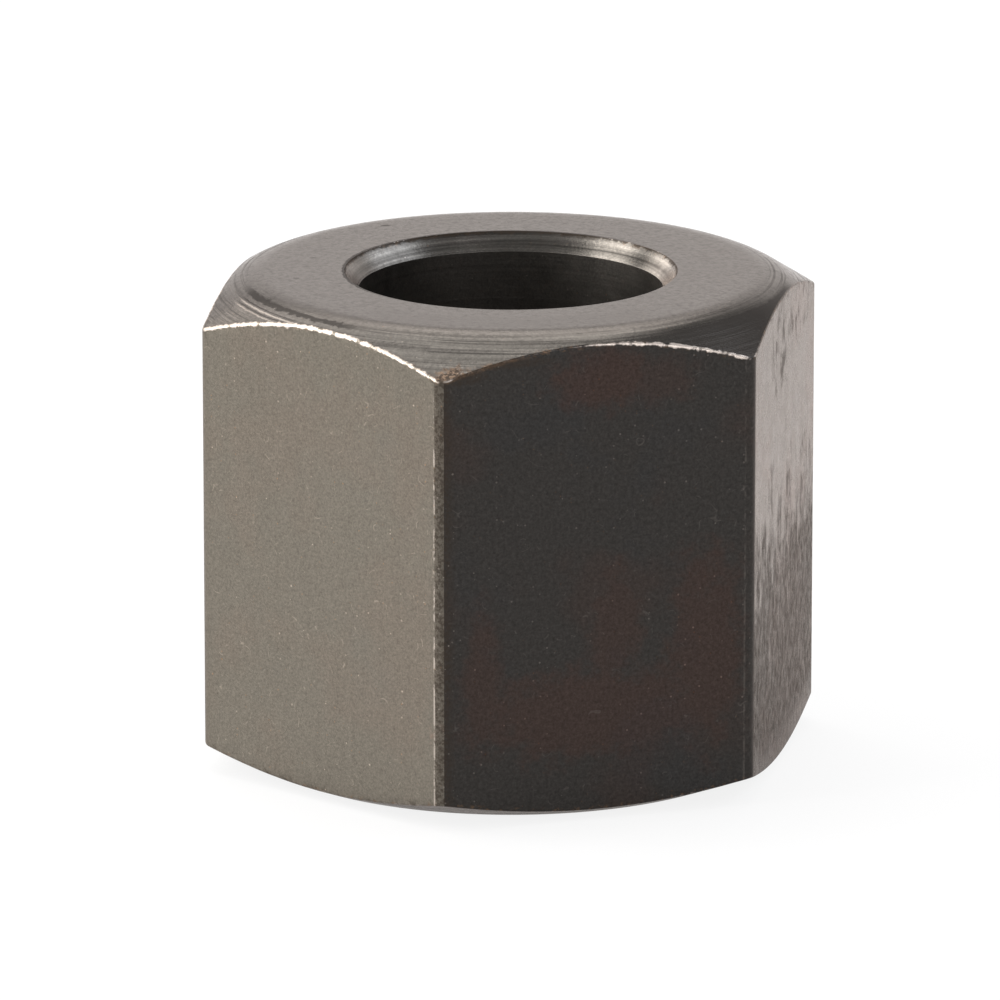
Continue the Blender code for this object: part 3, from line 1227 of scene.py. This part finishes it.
@dataclass
class Studio:
    """The pale floor, the soft light and the camera.

    The glow is the share of plain white in the floor as the camera sees it, and the glint is the
    same as shiny metal sees it. The ceiling is dimmer than the walls by its share.
    """

    centre: Vector
    floor_radius: float = 3.0
    floor_gap: float = 0.02 * MM
    floor_colour: Colour = (0.92, 0.92, 0.92)
    floor_glow: float = 0.85
    floor_glint: float = 0.45
    ceiling: float = 0.37
    view_azimuth: float = 72.287
    view_drop: float = 14.91
    distance: float = 0.459
    pixels_per_metre: float = 23184.0
    image_width: float = 1000.0
    sensor: float = 36.0
    offset: tuple[float, float] = (-0.469 * MM, 0.345 * MM)
    lamps: tuple[SoftBox, ...] = (
        SoftBox("left_softbox", -0.45, -0.03, 0.22, 0.44, 0.44, 4.4, (1.0, 0.965, 0.92)),
        SoftBox("overhead_softbox", -0.18, 0.48, 0.57, 0.68, 0.96, 2.3, (1.0, 0.98, 0.955), True),
        SoftBox("right_softbox", 0.46, 0.20, 0.36, 0.34, 0.34, 2.8, (0.85, 0.91, 1.0)),
        SoftBox("rear_softbox", -0.36, 0.42, 0.17, 0.24, 0.22, 2.6, (1.0, 0.96, 0.90)),
        SoftBox("front_softbox", 0.34, -0.43, 0.36, 0.12, 0.44, 5.5, (0.98, 0.97, 1.0)),
    )

    def set_up(self) -> None:
        """Put the whole studio in place."""
        self.lay_floor()
        self.light_world()
        for lamp in self.lamps:
            lamp.place(self.centre, math.radians(self.view_azimuth))
            log.info("lamp %s", lamp.name)
        self.aim_camera()
        bpy.context.scene.view_settings.view_transform = "Standard"

    def lay_floor(self) -> None:
        """A round pale floor at the nut's foot, white to the eye apart from the nut's shadow."""
        bm = bmesh.new()
        bmesh.ops.create_circle(bm, cap_ends=True, segments=96, radius=self.floor_radius)
        bmesh.ops.translate(bm, vec=(0.0, 0.0, -self.floor_gap), verts=bm.verts)
        mesh = bpy.data.meshes.new("floor")
        bm.to_mesh(mesh)
        bm.free()
        floor = bpy.data.objects.new("floor", mesh)
        bpy.context.scene.collection.objects.link(floor)
        material = bpy.data.materials.new("pale_floor")
        material.use_nodes = True
        board = NodeBoard(material.node_tree)
        matt = board.signal("ShaderNodeBsdfDiffuse", {}, {0: (*self.floor_colour, 1.0)})
        glow = board.signal("ShaderNodeEmission", {}, {0: (1.0, 1.0, 1.0, 1.0), 1: 1.0})
        camera, glossy, through = self.rays(board)
        share = (camera * self.floor_glow).at_least(glossy.at_least(through) * self.floor_glint)
        shown = board.signal("ShaderNodeMixShader", {}, {0: share, 1: matt, 2: glow})
        board.add("ShaderNodeOutputMaterial", {}, {0: shown})
        mesh.materials.append(material)

    @staticmethod
    def rays(board: NodeBoard) -> list[Signal]:
        """Whether a ray comes from the camera, from shiny metal or through glass."""
        node = board.add("ShaderNodeLightPath", {}, {})
        return [Signal(board, node.outputs[name])
                for name in ("Is Camera Ray", "Is Glossy Ray", "Is Transmission Ray")]

    def light_world(self) -> None:
        """White behind the nut; around it pale walls and, above them, a dimmer ceiling."""
        world = bpy.data.worlds.new("studio_room")
        world.use_nodes = True
        board = NodeBoard(world.node_tree)
        look = board.signal("ShaderNodeTexCoord", {}, {}, "Generated")
        split = board.add("ShaderNodeSeparateXYZ", {}, {0: look})
        level = Signal(board, split.outputs[2]).step(0.50, 0.34) * (1.0 - self.ceiling) + self.ceiling
        level = level.at_least(self.rays(board)[0])
        room = board.signal("ShaderNodeBackground", {}, {0: (1.0, 1.0, 1.0, 1.0), 1: level})
        board.add("ShaderNodeOutputWorld", {}, {0: room})
        bpy.context.scene.world = world

    def aim_camera(self) -> None:
        """Place the camera where the photograph was taken from."""
        around, drop = math.radians(self.view_azimuth), math.radians(self.view_drop)
        forward = Vector((math.cos(drop) * math.cos(around), math.cos(drop) * math.sin(around),
                          -math.sin(drop)))
        right = forward.cross(Vector((0.0, 0.0, 1.0))).normalized()
        up = right.cross(forward)
        camera = bpy.data.cameras.new("camera")
        camera.sensor_fit = "HORIZONTAL"
        camera.sensor_width = self.sensor
        camera.lens = self.sensor * self.pixels_per_metre * self.distance / self.image_width
        camera.clip_end = 10.0
        item = bpy.data.objects.new("camera", camera)
        spot = self.centre - forward * self.distance + right * self.offset[0] + up * self.offset[1]
        turned = Matrix((right, up, -forward)).transposed().to_4x4()
        item.matrix_world = Matrix.Translation(spot) @ turned
        bpy.context.scene.collection.objects.link(item)
        bpy.context.scene.camera = item


def main() -> None:
    """Build the nut and its studio, and note the skin's face count."""
    logging.basicConfig(level=logging.INFO, format="%(name)s: %(message)s")
    low, high = (Vector(corner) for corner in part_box(NODE))
    size = high - low
    form = NutForm(across_flats=size.y, height=size.z)
    piece = ColletNut(form).build()
    log.info("%s: %d faces", piece.name, len(piece.data.polygons))
    Studio(centre=(low + high) / 2).set_up()


if __name__ == "__main__":
    main()
